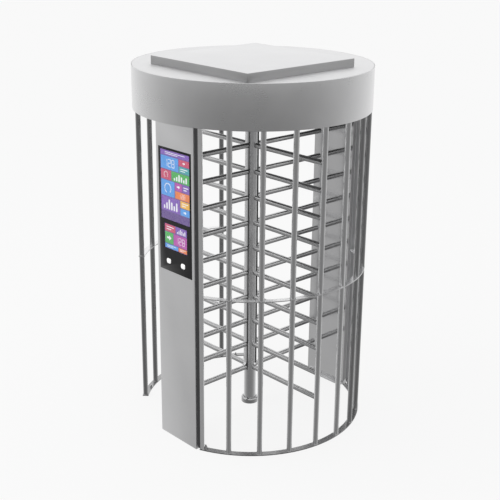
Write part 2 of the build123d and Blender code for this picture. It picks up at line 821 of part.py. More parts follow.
def make_centring_lever():
    """The sprung lever whose roller drops into a cam notch, shown lifted clear of the cam's rim."""
    pivot = Vector(*lever_pivot)
    seated = Vector(*polar(roller_seat, 225)) - pivot
    lifted = seated.rotate(Axis.Z, lever_lift)
    roller_centre = pivot + lifted
    reach = lifted.length
    lever_width = 26
    lever_thickness = 8
    axle_radius = 4
    axle_length = 15.5
    axle_head_radius = 7
    axle_head = 3
    lever_plane = Plane(origin=(*lever_pivot, lever_bottom), x_dir=lifted.normalized())
    with BuildPart() as centring_lever:
        with BuildSketch(lever_plane):
            with Locations((reach / 2, 0)):
                SlotCenterToCenter(reach, lever_width)
            Circle(pin_radius + running_gap, mode=Mode.SUBTRACT)
        extrude(amount=lever_thickness)
        with BuildSketch(lever_plane.offset(-axle_length)):
            with Locations((reach, 0)):
                Circle(axle_radius)
        extrude(amount=axle_length)
        with BuildSketch(lever_plane.offset(-axle_length - axle_head)):
            with Locations((reach, 0)):
                Circle(axle_head_radius)
        extrude(amount=axle_head)
    centring_lever.part.label = "centring_lever"
    export_step(centring_lever.part, "parts/centring_lever.step")

    with BuildPart() as centring_roller:
        with BuildSketch(Plane(origin=(roller_centre.X, roller_centre.Y, cam_bottom))):
            Circle(roller_radius)
            Circle(axle_radius + running_gap, mode=Mode.SUBTRACT)
        extrude(amount=cam_thickness)
    centring_roller.part.label = "centring_roller"
    export_step(centring_roller.part, "parts/centring_roller.step")

    coil_radius = 9.5
    wire_radius = 1.2
    coil_pitch = 3.4
    coil_turns = 4
    with BuildPart() as centring_spring:
        coil_start = Plane(origin=(*lever_pivot, lever_bottom + lever_thickness + 3))
        with BuildLine(coil_start):
            coil = Helix(pitch=coil_pitch, height=coil_turns * coil_pitch, radius=coil_radius)
        with BuildSketch(Plane(origin=coil @ 0, z_dir=coil % 0)):
            Circle(wire_radius)
        sweep(path=coil, is_frenet=True)
    centring_spring.part.label = "centring_spring"
    export_step(centring_spring.part, "parts/centring_spring.step")


def make_pivot_pins():
    """Shouldered pins on the mechanism plate for the two pawls and the centring lever."""
    play = 0.5
    head_height = 4
    collar_radius = pin_radius + 4
    pins = (
        (pawl_pivot, cam_bottom, cam_thickness),
        ((-pawl_pivot[0], -pawl_pivot[1]), cam_bottom, cam_thickness),
        (lever_pivot, lever_bottom, 26),
    )
    with BuildPart() as pivot_pins:
        for position, seat, length in pins:
            with BuildSketch(Plane(origin=(*position, plate_top))):
                Circle(collar_radius)
            extrude(amount=seat - play - plate_top)
            with BuildSketch(Plane(origin=(*position, seat - play))):
                Circle(pin_radius)
            extrude(amount=length + 2 * play)
            with BuildSketch(Plane(origin=(*position, seat + length + play))):
                Circle(collar_radius)
            extrude(amount=head_height)
    pivot_pins.part.label = "pivot_pins"
    export_step(pivot_pins.part, "parts/pivot_pins.step")


def make_control_box():
    """The tray that holds the turnstile's electronics, standing on the canopy floor."""
    box_size = (200, 260, 90)
    with BuildPart() as control_box:
        with BuildSketch(Plane(origin=(-430, 0, mid_floor))):
            Rectangle(box_size[0], box_size[1])
        extrude(amount=box_size[2])
        offset(amount=-sheet, openings=control_box.faces().sort_by(Axis.Z).last)
    control_box.part.label = "control_box"
    export_step(control_box.part, "parts/control_box.step")


make_canopy()
make_top_cover()
make_canopy_beams()
make_cage_rings("large_cage", large_bar_angles, 0, large_ring_half_angle, mid_ring_half_angle)
make_cage_rings("lane_cage", lane_bar_angles, 180, lane_ring_half_angle, lane_ring_half_angle)
make_cage_bars()
make_end_straps()
make_ring_anchor_studs()
make_screen_column()
make_plain_column()
make_floor_anchor_strips()
make_pole()
make_wings()
make_corner_strips()
make_foot()
make_drive_head()
make_index_cam()
make_counter_sensor()
make_locks()
make_centring_lever()
make_pivot_pins()
make_control_box()
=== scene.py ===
import json
import math

import bmesh
import bpy
from mathutils import Euler, Matrix, Vector


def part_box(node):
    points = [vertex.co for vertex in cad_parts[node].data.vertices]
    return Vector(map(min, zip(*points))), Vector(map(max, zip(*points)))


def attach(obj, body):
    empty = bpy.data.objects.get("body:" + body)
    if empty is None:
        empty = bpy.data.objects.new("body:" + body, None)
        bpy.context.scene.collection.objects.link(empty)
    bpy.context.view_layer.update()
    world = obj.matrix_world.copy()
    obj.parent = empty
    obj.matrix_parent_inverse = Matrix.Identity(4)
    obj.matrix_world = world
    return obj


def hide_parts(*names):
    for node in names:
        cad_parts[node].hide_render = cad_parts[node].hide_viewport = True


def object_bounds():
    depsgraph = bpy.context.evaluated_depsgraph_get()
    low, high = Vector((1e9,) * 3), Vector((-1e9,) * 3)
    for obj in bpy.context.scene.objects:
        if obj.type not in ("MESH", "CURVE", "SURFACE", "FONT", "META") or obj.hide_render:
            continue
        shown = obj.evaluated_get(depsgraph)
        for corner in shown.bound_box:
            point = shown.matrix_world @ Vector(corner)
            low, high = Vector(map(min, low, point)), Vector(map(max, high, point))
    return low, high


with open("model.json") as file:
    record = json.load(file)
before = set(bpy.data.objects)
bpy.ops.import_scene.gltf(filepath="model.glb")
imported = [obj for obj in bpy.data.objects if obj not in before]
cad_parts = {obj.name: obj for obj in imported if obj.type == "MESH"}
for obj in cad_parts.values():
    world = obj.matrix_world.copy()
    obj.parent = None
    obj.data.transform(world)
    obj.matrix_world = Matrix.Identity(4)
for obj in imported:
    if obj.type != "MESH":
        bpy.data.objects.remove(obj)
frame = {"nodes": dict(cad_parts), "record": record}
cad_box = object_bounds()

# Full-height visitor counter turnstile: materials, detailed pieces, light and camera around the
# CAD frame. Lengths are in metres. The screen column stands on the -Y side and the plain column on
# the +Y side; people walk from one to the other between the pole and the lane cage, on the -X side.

RECORD = frame["record"]
NODES = frame["nodes"]

BODY = "frame"
ROTOR = "rotor"

# Straight sides that make up each round shape
TUBE_SEGMENTS = 40
ARM_SEGMENTS = 36
WELD_SEGMENTS = 32
LINE_SEGMENTS = 12
POLE_SEGMENTS = 64
COLLAR_SEGMENTS = 72
DRUM_SEGMENTS = 288

# Step between thin layers, how far a cutting shape reaches past its piece, and a crisp edge
GAP = 0.0003
REACH = 0.01
CRISP_EDGE = 0.0001
# Distances below which two heights or two points are the same
SAME_LEVEL = 1e-6
SAME_POINT = 1e-5

# Width of the buttons' flange behind the glass, their corner radius, and the gap round them
BUTTON_FLANGE = 0.003
BUTTON_CORNER = 0.008
BUTTON_GAP = 0.0005

# Where the end straps stand, from +X, and the round lower corner of their seals
STRAP_ANGLE = math.radians(67)
SEAL_CORNER = 0.036

ARMS_PER_WING = 10
# Numbers of the large cage's tubes in the darker steel, painted shade for the dark structure they
# reflect
SHADED_TUBES = "678"


# ---------------------------------------------------------------- node materials

# Nearly all of a noise texture's values lie in this range
NOISE_LOW = 0.3
NOISE_HIGH = 0.7
GRAIN_DEPTH = 0.0001
PATCH_DEPTH = 0.0002


def node_material(name):
    """A new material with its node tree, links and Principled shader."""
    material = bpy.data.materials.new(name)
    material.use_nodes = True
    tree = material.node_tree
    tree.nodes.clear()
    output = tree.nodes.new("ShaderNodeOutputMaterial")
    shader = tree.nodes.new("ShaderNodeBsdfPrincipled")
    tree.links.new(shader.outputs["BSDF"], output.inputs["Surface"])
    return material, tree, shader


def noise(tree, scale, stretch=(1, 1, 1), detail=3.0):
    """A noise texture in object space, stretched along the axes."""
    coordinates = tree.nodes.new("ShaderNodeTexCoord")
    mapping = tree.nodes.new("ShaderNodeMapping")
    mapping.inputs["Scale"].default_value = stretch
    texture = tree.nodes.new("ShaderNodeTexNoise")
    texture.inputs["Scale"].default_value = scale
    texture.inputs["Detail"].default_value = detail
    tree.links.new(coordinates.outputs["Object"], mapping.inputs["Vector"])
    tree.links.new(mapping.outputs["Vector"], texture.inputs["Vector"])
    return texture.outputs["Fac"]


def spread(tree, value, low, high):
    """Maps a noise value to the range from low to high."""
    node = tree.nodes.new("ShaderNodeMapRange")
    node.inputs["From Min"].default_value = NOISE_LOW
    node.inputs["From Max"].default_value = NOISE_HIGH
    node.inputs["To Min"].default_value = low
    node.inputs["To Max"].default_value = high
    tree.links.new(value, node.inputs["Value"])
    return node.outputs["Result"]


def tint(tree, value, first, second):
    """A colour between first and second, by a noise value."""
    ramp = tree.nodes.new("ShaderNodeValToRGB")
    ramp.color_ramp.elements[0].position = NOISE_LOW
    ramp.color_ramp.elements[0].color = (*first, 1)
    ramp.color_ramp.elements[1].position = NOISE_HIGH
    ramp.color_ramp.elements[1].color = (*second, 1)
    tree.links.new(value, ramp.inputs["Fac"])
    return ramp.outputs["Color"]


def bump(tree, shader, value, strength, distance):
    """Gives the shader a bump from a noise value."""
    node = tree.nodes.new("ShaderNodeBump")
    node.inputs["Strength"].default_value = strength
    node.inputs["Distance"].default_value = distance
    tree.links.new(value, node.inputs["Height"])
    tree.links.new(node.outputs["Normal"], shader.inputs["Normal"])


def grey(level):
    """A grey with a trace of blue, as of stainless steel."""
    return (level, level, level * 1.008)


def brushed_steel(name, level, roughness, grain, bump_strength=0.05, contrast=0.12):
    """Stainless steel with fine grinding lines and faint handling marks. The lines are
    closest along the axis where grain is largest."""
    material, tree, shader = node_material(name)
    lines = noise(tree, 1.0, grain, 4.0)
    marks = noise(tree, 5.0, (1, 1, 1), 5.0)
    shader.inputs["Metallic"].default_value = 1.0
    colour = tint(tree, marks, grey(level * 0.97), grey(level * 1.02))
    tree.links.new(colour, shader.inputs["Base Color"])
    worn = tree.nodes.new("ShaderNodeMath")
    worn.operation = "ADD"
    line_gloss = spread(tree, lines, roughness * (1 - contrast), roughness * (1 + contrast))
    tree.links.new(line_gloss, worn.inputs[0])
    tree.links.new(spread(tree, marks, 0.0, roughness * 0.12), worn.inputs[1])
    tree.links.new(worn.outputs["Value"], shader.inputs["Roughness"])
    bump(tree, shader, lines, bump_strength, GRAIN_DEPTH)
    return material


def plain_metal(name, colour, roughness, patch_scale=60.0, metallic=1.0):
    """Metal or paint whose colour and gloss change in small patches, as on zinc and castings."""
    material, tree, shader = node_material(name)
    patches = noise(tree, patch_scale, (1, 1, 1), 5.0)
    shader.inputs["Metallic"].default_value = metallic
    darker = tuple(0.82 * part for part in colour)
    tree.links.new(tint(tree, patches, darker, colour), shader.inputs["Base Color"])
    tree.links.new(spread(tree, patches, roughness * 0.8, roughness * 1.25), shader.inputs["Roughness"])
    bump(tree, shader, patches, 0.08, PATCH_DEPTH)
    return material


def moulded_plastic(name, colour, roughness, patch_scale=900.0, glow=0.0):
    """Moulded plastic or rubber with a fine texture; glow adds painted light in its own colour."""
    material, tree, shader = node_material(name)
    texture = noise(tree, patch_scale, (1, 1, 1), 2.0)
    darker = tuple(0.93 * part for part in colour)
    tree.links.new(tint(tree, texture, darker, colour), shader.inputs["Base Color"])
    tree.links.new(spread(tree, texture, roughness * 0.9, roughness * 1.15), shader.inputs["Roughness"])
    bump(tree, shader, texture, 0.06, GRAIN_DEPTH)
    shader.inputs["Emission Color"].default_value = (*colour, 1)
    shader.inputs["Emission Strength"].default_value = glow
    return material


def printed_glass(name):
    """Glass with a black print on its back: deep black under a clear gloss."""
    material, tree, shader = node_material(name)
    smears = noise(tree, 14.0, (1, 1, 1), 4.0)
    black = tint(tree, smears, (0.003, 0.003, 0.004), (0.006, 0.006, 0.007))
    tree.links.new(black, shader.inputs["Base Color"])
    tree.links.new(spread(tree, smears, 0.03, 0.09), shader.inputs["Roughness"])
    shader.inputs["IOR"].default_value = 1.38
    return material


def clear_glass(name):
    """The unprinted window of the glass, with faint finger smears."""
    material, tree, shader = node_material(name)
    smears = noise(tree, 14.0, (1, 1, 1), 4.0)
    clear = tint(tree, smears, (0.95, 0.97, 0.96), (1.0, 1.0, 1.0))
    tree.links.new(clear, shader.inputs["Base Color"])
    tree.links.new(spread(tree, smears, 0.0, 0.03), shader.inputs["Roughness"])
    shader.inputs["Transmission Weight"].default_value = 1.0
    shader.inputs["IOR"].default_value = 1.45
    return material


def lit_pixels(name, colour, strength):
    """A lit area of a display, slightly uneven in brightness."""
    material, tree, shader = node_material(name)
    glow = noise(tree, 45.0, (1, 1, 1), 2.0)
    dimmer = tuple(0.88 * part for part in colour)
    shade = tint(tree, glow, dimmer, colour)
    shader.inputs["Base Color"].default_value = (*(0.1 * part for part in colour), 1)
    shader.inputs["Roughness"].default_value = 0.35
    shader.inputs["Emission Strength"].default_value = strength
    tree.links.new(shade, shader.inputs["Emission Color"])
    return material


def circuit_board(name):
    """Green solder mask with lighter tracks."""
    material, tree, shader = node_material(name)
    tracks = noise(tree, 1.0, (300, 20, 90), 1.0)
    green = tint(tree, tracks, (0.01, 0.09, 0.03), (0.03, 0.2, 0.07))
    tree.links.new(green, shader.inputs["Base Color"])
    tree.links.new(spread(tree, tracks, 0.3, 0.5), shader.inputs["Roughness"])
    bump(tree, shader, tracks, 0.1, GRAIN_DEPTH)
    return material


# How much light the usual brushed steel reflects
STEEL = 0.66
# Noise stretch for grinding lines that lie across one axis
ACROSS_Z = (3, 3, 900)
ACROSS_X = (900, 3, 3)
ACROSS_Y = (3, 900, 3)
# Brushed steels: reflectance, roughness, grain, then bump and contrast where the sheet is smooth.
# Other metals: colour, roughness, patch scale, metallic. Plastics: colour, roughness, scale, glow.
MATERIALS = {
    "upright_steel": brushed_steel("upright_steel", STEEL, 0.16, ACROSS_Z),
    # Darker copy of the upright steel for back tubes, lane tubes and welds: painted shade
    "shaded_steel": brushed_steel("shaded_steel", 0.36, 0.13, ACROSS_Z),
    "strap_steel": brushed_steel("strap_steel", 0.85, 0.2, ACROSS_Z),
    "ring_steel": brushed_steel("ring_steel", 0.30, 0.18, ACROSS_X),
    # Canopy underside darkened so the arms below reflect shade: painted shade
    "shaded_underside": brushed_steel("shaded_underside", 0.30, 0.40, ACROSS_X),
    # Arm steel darker than the uprights: painted shade for the arms' dark tops under the canopy
    "shaded_arm_steel_x": brushed_steel("shaded_arm_steel_x", 0.46, 0.2, ACROSS_X),
    "shaded_arm_steel_y": brushed_steel("shaded_arm_steel_y", 0.46, 0.2, ACROSS_Y),
    "sheet_steel": brushed_steel("sheet_steel", STEEL, 0.27, ACROSS_Z, 0.0015, 0.02),
    "flat_steel": brushed_steel("flat_steel", 0.72, 0.28, ACROSS_X, 0.002, 0.03),
    "satin_top": brushed_steel("satin_top", 0.66, 0.55, ACROSS_X, 0.01),
    # Darker copy of the cover steel for its sides: painted shade beside the lighter top
    "cover_side": brushed_steel("cover_side", 0.40, 0.4, ACROSS_Z, 0.01),
    "polished_steel": brushed_steel("polished_steel", 0.63, 0.09, ACROSS_Z, 0.01),
    "bright_chrome": plain_metal("bright_chrome", grey(0.5), 0.06, 20.0),
    "zinc_steel": plain_metal("zinc_steel", (0.55, 0.55, 0.52), 0.38),
    "cast_grey": plain_metal("cast_grey", (0.22, 0.22, 0.23), 0.55, 220.0),
    "bronze": plain_metal("bronze", (0.62, 0.42, 0.2), 0.3),
    "spring_steel": plain_metal("spring_steel", grey(0.3), 0.3, 120.0),
    "painted_sheet": plain_metal("painted_sheet", (0.06, 0.06, 0.065), 0.45, 300.0, 0.0),
    "dark_glass": printed_glass("dark_glass"),
    "clear_glass": clear_glass("clear_glass"),
    "display": moulded_plastic("display", (0.02, 0.02, 0.025), 0.4),
    # The white buttons glow in their own white: painted light
    "white_plastic": moulded_plastic("white_plastic", (0.90, 0.90, 0.89), 0.35, 900.0, 0.42),
    # Near black for the lines beside the corner strips: painted shadow
    "shadow_line_black": moulded_plastic("shadow_line_black", (0.012, 0.012, 0.012), 0.7),
    # Black rubber of the strap seals, also painted shadow for the dark gap beside the columns
    "rubber": moulded_plastic("rubber", (0.045, 0.045, 0.047), 0.42),
    "black_plastic": moulded_plastic("black_plastic", (0.03, 0.03, 0.033), 0.5),
    "board_green": circuit_board("board_green"),
}
# The record's slots are materials by name, apart from this one
SLOT_MATERIALS = {"brushed_steel": "upright_steel"}
# Nodes with a finish of their own; the canopy underside's darker steel is painted shade
NODE_MATERIALS = {
    "canopy_top_plate": "satin_top",
    "canopy_bottom_plate": "shaded_underside",
    "end_straps": "strap_steel",
    "large_cage_base_ring": "ring_steel",
    "lane_cage_base_ring": "ring_steel",
}


def dress_cad_nodes():
    """Gives every CAD node the node material of its record slot, or its own finish."""
    slots = {part["node"]: part["material_slot"] for part in RECORD["subparts"]}
    for name, node in NODES.items():
        slot = slots[name]
        material = MATERIALS[NODE_MATERIALS.get(name, SLOT_MATERIALS.get(slot, slot))]
        for index in range(max(1, len(node.material_slots))):
            if index < len(node.material_slots):
                node.material_slots[index].material = material
            else:
                node.data.materials.append(material)


# ---------------------------------------------------------------- mesh helpers

def placed(origin, axis):
    """A matrix that puts local +Z along axis at origin."""
    direction = Vector(axis).normalized()
    rotation = Vector((0, 0, 1)).rotation_difference(direction).to_matrix().to_4x4()
    return Matrix.Translation(origin) @ rotation


def add_lathe(mesh, profile, matrix=Matrix(), segments=TUBE_SEGMENTS, closed=False):
    """Revolves (radius, height) points about local Z. A closed profile ends where it began."""
    rings = []
    for radius, height in profile:
        if radius < SAME_LEVEL:
            rings.append([mesh.verts.new(matrix @ Vector((0, 0, height)))])
            continue
        ring = []
        for step in range(segments):
            angle = 2 * math.pi * step / segments
            point = Vector((radius * math.cos(angle), radius * math.sin(angle), height))
            ring.append(mesh.verts.new(matrix @ point))
        rings.append(ring)
    if closed:
        rings.append(rings[0])
    for lower, upper in zip(rings, rings[1:]):
        for step in range(segments):
            following = (step + 1) % segments
            corners = []
            for ring, index in ((lower, step), (lower, following), (upper, following), (upper, step)):
                vertex = ring[index % len(ring)]
                if vertex not in corners:
                    corners.append(vertex)
            mesh.faces.new(corners)


def rounded(start, corner, end, radius, steps=5):
    """Points of the arc that rounds a right-angled corner between two profile points."""
    corner = Vector(corner)
    first = (Vector(start) - corner).normalized() * radius
    last = (Vector(end) - corner).normalized() * radius
    centre = corner + first + last
    points = []
    for step in range(steps + 1):
        angle = math.pi / 2 * step / steps
        point = centre - last * math.cos(angle) - first * math.sin(angle)
        points.append(tuple(point))
    return points


def add_rounded_box(mesh, low, high, radius, segments=3, edges=None):
    """A box between two corners with rounded edges; edges picks which ones are rounded."""
    low = Vector(low)
    high = Vector(high)
    matrix = Matrix.Translation((low + high) / 2) @ Matrix.Diagonal((*(high - low), 1))
    made = bmesh.ops.create_cube(mesh, size=1, matrix=matrix)["verts"]
    box_edges = {edge for vertex in made for edge in vertex.link_edges}
    chosen = [edge for edge in box_edges if edges is None or edges(edge)]
    bmesh.ops.bevel(mesh, geom=chosen, offset=radius, segments=segments, affect="EDGES", profile=0.5)


def upright_edges(edge):
    """True for the vertical edges of a box."""
    first, last = edge.verts
    return abs(first.co.z - last.co.z) > SAME_LEVEL


def add_slab(mesh, outline, front, back):
    """A prism over an outline of (x, z) points, from front to back along Y."""
    loops = []
    for level in (front, back):
        loops.append([mesh.verts.new((across, level, height)) for across, height in outline])
    count = len(outline)
    mesh.faces.new(loops[0])
    mesh.faces.new(loops[1])
    for index in range(count):
        following = (index + 1) % count
        mesh.faces.new((loops[0][index], loops[0][following], loops[1][following], loops[1][index]))


def rounded_rectangle(centre, size, radius, steps=6):
    """The outline of a rectangle with round corners, counter-clockwise."""
    points = []
    for quarter, (side_x, side_y) in enumerate(((1, 1), (-1, 1), (-1, -1), (1, -1))):
        corner_x = centre[0] + side_x * (size[0] / 2 - radius)
        corner_y = centre[1] + side_y * (size[1] / 2 - radius)
        for step in range(steps + 1):
            angle = math.pi / 2 * (quarter + step / steps)
            points.append((corner_x + radius * math.cos(angle), corner_y + radius * math.sin(angle)))
    return points


def piece(name, mesh, material, body, replaces=(), smooth_angle=35.0):
    """Turns a bmesh into an object with a material that rides on a body."""
    bmesh.ops.recalc_face_normals(mesh, faces=mesh.faces)
    data = bpy.data.meshes.new(name)
    mesh.to_mesh(data)
    mesh.free()
    data.materials.append(MATERIALS[material])
    data.set_sharp_from_angle(angle=math.radians(smooth_angle))
    obj = bpy.data.objects.new(name, data)
    bpy.context.scene.collection.objects.link(obj)
    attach(obj, body)
    if replaces:
        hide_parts(*replaces)
    return obj


def cut(obj, cutter_mesh):
    """Cuts a closed bmesh out of an object."""
    data = bpy.data.meshes.new(obj.name + "_cutter")
    bmesh.ops.recalc_face_normals(cutter_mesh, faces=cutter_mesh.faces)
    cutter_mesh.to_mesh(data)
    cutter_mesh.free()
    cutter = bpy.data.objects.new(obj.name + "_cutter", data)
    bpy.context.scene.collection.objects.link(cutter)
    modifier = obj.modifiers.new("cut", "BOOLEAN")
    modifier.object = cutter
    modifier.solver = "EXACT"
    bpy.context.view_layer.update()
    evaluated = obj.evaluated_get(bpy.context.evaluated_depsgraph_get())
    result = bpy.data.meshes.new_from_object(evaluated)
    obj.modifiers.clear()
    obj.data = result
    bpy.data.objects.remove(cutter)


# ---------------------------------------------------------------- canopy

def make_canopy():
    """The rolled skirt with rounded rims, and the folded service cover on top."""
    low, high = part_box("canopy_skirt")
    radius = high.x
    wall = 0.0035
    rim = 0.0016
    fold = 0.0022
    upward = 0.7
    profile = [(radius - wall, low.z)]
    profile += rounded((radius - wall, low.z), (radius, low.z), (radius, high.z), rim)
    profile += rounded((radius, low.z), (radius, high.z), (radius - wall, high.z), rim)
    profile += [(radius - wall, high.z)]
    skirt = bmesh.new()
    add_lathe(skirt, profile, segments=DRUM_SEGMENTS, closed=True)
    piece("canopy_skirt_rolled", skirt, "sheet_steel", BODY, ["canopy_skirt"])

    low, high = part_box("top_cover_box")
    cover = bmesh.new()
    add_rounded_box(cover, low, high, fold)
    folded = piece("top_cover_folded", cover, "satin_top", BODY, ["top_cover_box"])
    # Faces that do not face upward take the darker steel: painted shade on the cover's sides
    folded.data.materials.append(MATERIALS["cover_side"])
    for polygon in folded.data.polygons:
        if abs(polygon.normal.z) < upward:
            polygon.material_index = 1


# ---------------------------------------------------------------- cages

def weld_bead(mesh, centre, tube_radius, height, up):
    """A small concave fillet of weld around a tube where it meets a flat plate."""
    leg = 0.0025
    root = tube_radius - 0.001
    points = [(root, height), (tube_radius + leg, height)]
    for step in range(1, 5):
        angle = math.pi / 2 * step / 5
        across = tube_radius + leg * (1 - math.sin(angle))
        points.append((across, height + up * leg * (1 - math.cos(angle))))
    points += [(tube_radius, height + up * leg), (root, height + up * leg)]
    add_lathe(mesh, points, Matrix.Translation(centre), WELD_SEGMENTS, closed=True)


def upright_tube(mesh, centre, radius, bottom, top):
    """One closed vertical tube."""
    profile = [(0, bottom), (radius, bottom), (radius, top), (0, top)]
    add_lathe(mesh, profile, Matrix.Translation((centre.x, centre.y, 0)))


def make_cage_tubes():
    """Every upright cage tube, with its weld beads at the base ring and the middle ring."""
    rings = {"large": "large_cage_mid_ring", "lane": "lane_cage_mid_ring"}
    welds = {"large": bmesh.new(), "lane": bmesh.new()}
    for name in sorted(NODES):
        if not name.startswith("large_cage_bar_"):
            continue
        low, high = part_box(name)
        tube = bmesh.new()
        centre = (low + high) / 2
        radius = (high.x - low.x) / 2
        upright_tube(tube, centre, radius, low.z, high.z)
        # The back tubes take the darker steel: painted shade
        tube_steel = "shaded_steel" if name[-1] in SHADED_TUBES else "upright_steel"
        piece(name.replace("bar", "tube"), tube, tube_steel, BODY, [name])
        add_tube_welds(welds["large"], centre, radius, rings["large"])
    lane = bmesh.new()
    for centre, radius, bottom, top in solid_columns("lane_cage_bars"):
        upright_tube(lane, centre, radius, bottom, top)
        add_tube_welds(welds["lane"], centre, radius, rings["lane"])
    # The lane tubes take the darker steel: painted shade
    piece("lane_cage_tubes", lane, "shaded_steel", BODY, ["lane_cage_bars"])
    for cage, mesh in welds.items():
        # The welds take the darker steel too, painted shade to match the tubes
        piece(f"{cage}_cage_welds", mesh, "shaded_steel", BODY, smooth_angle=60.0)


def add_tube_welds(mesh, centre, radius, ring):
    """Weld beads on top of the base ring, and above and below the middle ring."""
    middle_low, middle_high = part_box(ring)
    base_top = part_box(ring.replace("mid", "base"))[1].z
    place = Vector((centre.x, centre.y, 0))
    weld_bead(mesh, place, radius, base_top, 1)
    weld_bead(mesh, place, radius, middle_high.z, 1)
    weld_bead(mesh, place, radius, middle_low.z, -1)


def solid_columns(name):
    """Centre, radius and height range of each upright tube in a node of several tubes."""
    mesh = bmesh.new()
    mesh.from_mesh(NODES[name].data)
    bmesh.ops.remove_doubles(mesh, verts=mesh.verts, dist=SAME_POINT)
    columns = []
    unseen = set(mesh.verts)
    while unseen:
        island = flood(unseen)
        xs = [vertex.co.x for vertex in island]
        ys = [vertex.co.y for vertex in island]
        zs = [vertex.co.z for vertex in island]
        centre = Vector(((min(xs) + max(xs)) / 2, (min(ys) + max(ys)) / 2, 0))
        columns.append((centre, (max(xs) - min(xs)) / 2, min(zs), max(zs)))
    mesh.free()
    columns.sort(key=lambda column: (round(column[0].x, 4), round(column[0].y, 4)))
    return columns


def flood(unseen):
    """Takes one connected island of vertices out of a set."""
    start = unseen.pop()
    island = [start]
    pending = [start]
    while pending:
        vertex = pending.pop()
        for edge in vertex.link_edges:
            other = edge.other_vert(vertex)
            if other in unseen:
                unseen.remove(other)
                island.append(other)
                pending.append(other)
    return island


def make_strap_seals_and_shadows():
    """The black rubber seal on each end strap, along the side next to the column; its black is also
    painted shadow for the dark gap between column and strap.
    """
    low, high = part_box("end_straps")
    buried = 0.0005
    proud = 0.0012
    vertices = NODES["end_straps"].data.vertices
    for side, name in ((-1, "screen_side_seal_shadow"), (1, "plain_side_seal_shadow")):
        outward = Vector((math.cos(STRAP_ANGLE), side * math.sin(STRAP_ANGLE), 0))
        to_column = Vector((-math.sin(STRAP_ANGLE), side * math.cos(STRAP_ANGLE), 0))
        face = max(vertex.co.dot(outward) for vertex in vertices)
        outer = max(vertex.co.dot(to_column) for vertex in vertices if vertex.co.y * side > 0)
        seal = bmesh.new()
        add_slab(seal, seal_outline(outer, low.z, high.z), face - buried, face + proud)
        turn = Matrix.Identity(4)
        turn.col[0] = (*to_column, 0)
        turn.col[1] = (*outward, 0)
        bmesh.ops.transform(seal, matrix=turn, verts=seal.verts)
        piece(name, seal, "rubber", BODY)


def seal_outline(outer, bottom, top):
    """A tall narrow strip whose lower outer corner follows the strap's round corner."""
    width = 0.020
    lift = 0.004
    inner = outer - width
    outline = [(inner, top), (inner, bottom + lift)]
    for step in range(9):
        angle = math.pi / 2 * step / 8
        across = outer - SEAL_CORNER + SEAL_CORNER * math.sin(angle)
        if across >= inner:
            outline.append((across, bottom + SEAL_CORNER - SEAL_CORNER * math.cos(angle)))
    outline.append((outer, top))
    return outline


# ---------------------------------------------------------------- rotor

def arm_profile(start, end, radius):
    """A tube from start to end whose closed tip has a round edge."""
    cap = radius * 0.28
    profile = [(0, start), (radius, start), (radius, end - cap)]
    profile += rounded((radius, start), (radius, end), (0, end), cap, 6)[1:]
    profile.append((0, end))
    return profile


def make_wings():
    """Ten arms to a wing, each with a rounded end cap."""
    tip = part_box("wing_end_caps")[1].x
    inside_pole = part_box("rotor_pole")[1].x * 0.8
    for index in range(4):
        name = f"rotor_wing_{index + 1}"
        low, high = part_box(name)
        arm_radius = min(high.x - low.x, high.y - low.y) / 2
        spacing = (high.z - low.z - 2 * arm_radius) / (ARMS_PER_WING - 1)
        outward = Vector((math.cos(index * math.pi / 2), math.sin(index * math.pi / 2), 0))
        wing = bmesh.new()
        for level in range(ARMS_PER_WING):
            height = low.z + arm_radius + level * spacing
            profile = arm_profile(inside_pole, tip, arm_radius)
            add_lathe(wing, profile, placed((0, 0, height), outward), ARM_SEGMENTS)
        # The arms take the darker steel: painted shade
        material = "shaded_arm_steel_x" if index % 2 == 0 else "shaded_arm_steel_y"
        replaced = [name, "wing_end_caps"] if index == 0 else [name]
        piece(f"wing_{index + 1}_arms", wing, material, ROTOR, replaced)


def make_pole():
    """The centre pole, drawn as one smooth tube."""
    low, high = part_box("rotor_pole")
    pole = bmesh.new()
    profile = [(0, low.z), (high.x, low.z), (high.x, high.z), (0, high.z)]
    add_lathe(pole, profile, segments=POLE_SEGMENTS)
    piece("centre_pole", pole, "upright_steel", ROTOR, ["rotor_pole"])


def make_corner_shadow_lines():
    """A black line up one side of each corner strip: painted shadow where the strip meets the pole."""
    low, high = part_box("rotor_corner_strips")
    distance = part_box("rotor_pole")[1].x + 0.0005
    line_radius = 0.0036
    first_angle = 20
    lines = bmesh.new()
    for quarter in range(4):
        angle = math.radians(90 * quarter + first_angle)
        place = Vector((distance * math.cos(angle), distance * math.sin(angle), 0))
        profile = [(0, low.z), (line_radius, low.z), (line_radius, high.z), (0, high.z)]
        add_lathe(lines, profile, Matrix.Translation(place), LINE_SEGMENTS)
    piece("corner_shadow_lines", lines, "shadow_line_black", ROTOR)


def make_foot():
    """The domed chrome collar round the foot of the pole."""
    low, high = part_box("foot_collar")
    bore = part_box("rotor_pole")[1].x + 0.001
    dome = 0.011
    lip = 0.0012
    profile = [(bore, low.z), (high.x, low.z)]
    profile += rounded((high.x, low.z), (high.x, high.z), (bore, high.z), dome, 9)
    profile += rounded((high.x, high.z), (bore, high.z), (bore, low.z), lip, 3)
    collar = bmesh.new()
    add_lathe(collar, profile, segments=COLLAR_SEGMENTS, closed=True)
    piece("foot_collar_dome", collar, "bright_chrome", BODY, ["foot_collar"], smooth_angle=50.0)


# ---------------------------------------------------------------- screen column

def button_face(side):
    """Centre and size of a button's face, without the flange behind the glass."""
    low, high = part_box(f"{side}_button")
    size = (high.x - low.x - 2 * BUTTON_FLANGE, high.z - low.z - 2 * BUTTON_FLANGE)
    return ((low.x + high.x) / 2, (low.z + high.z) / 2), size


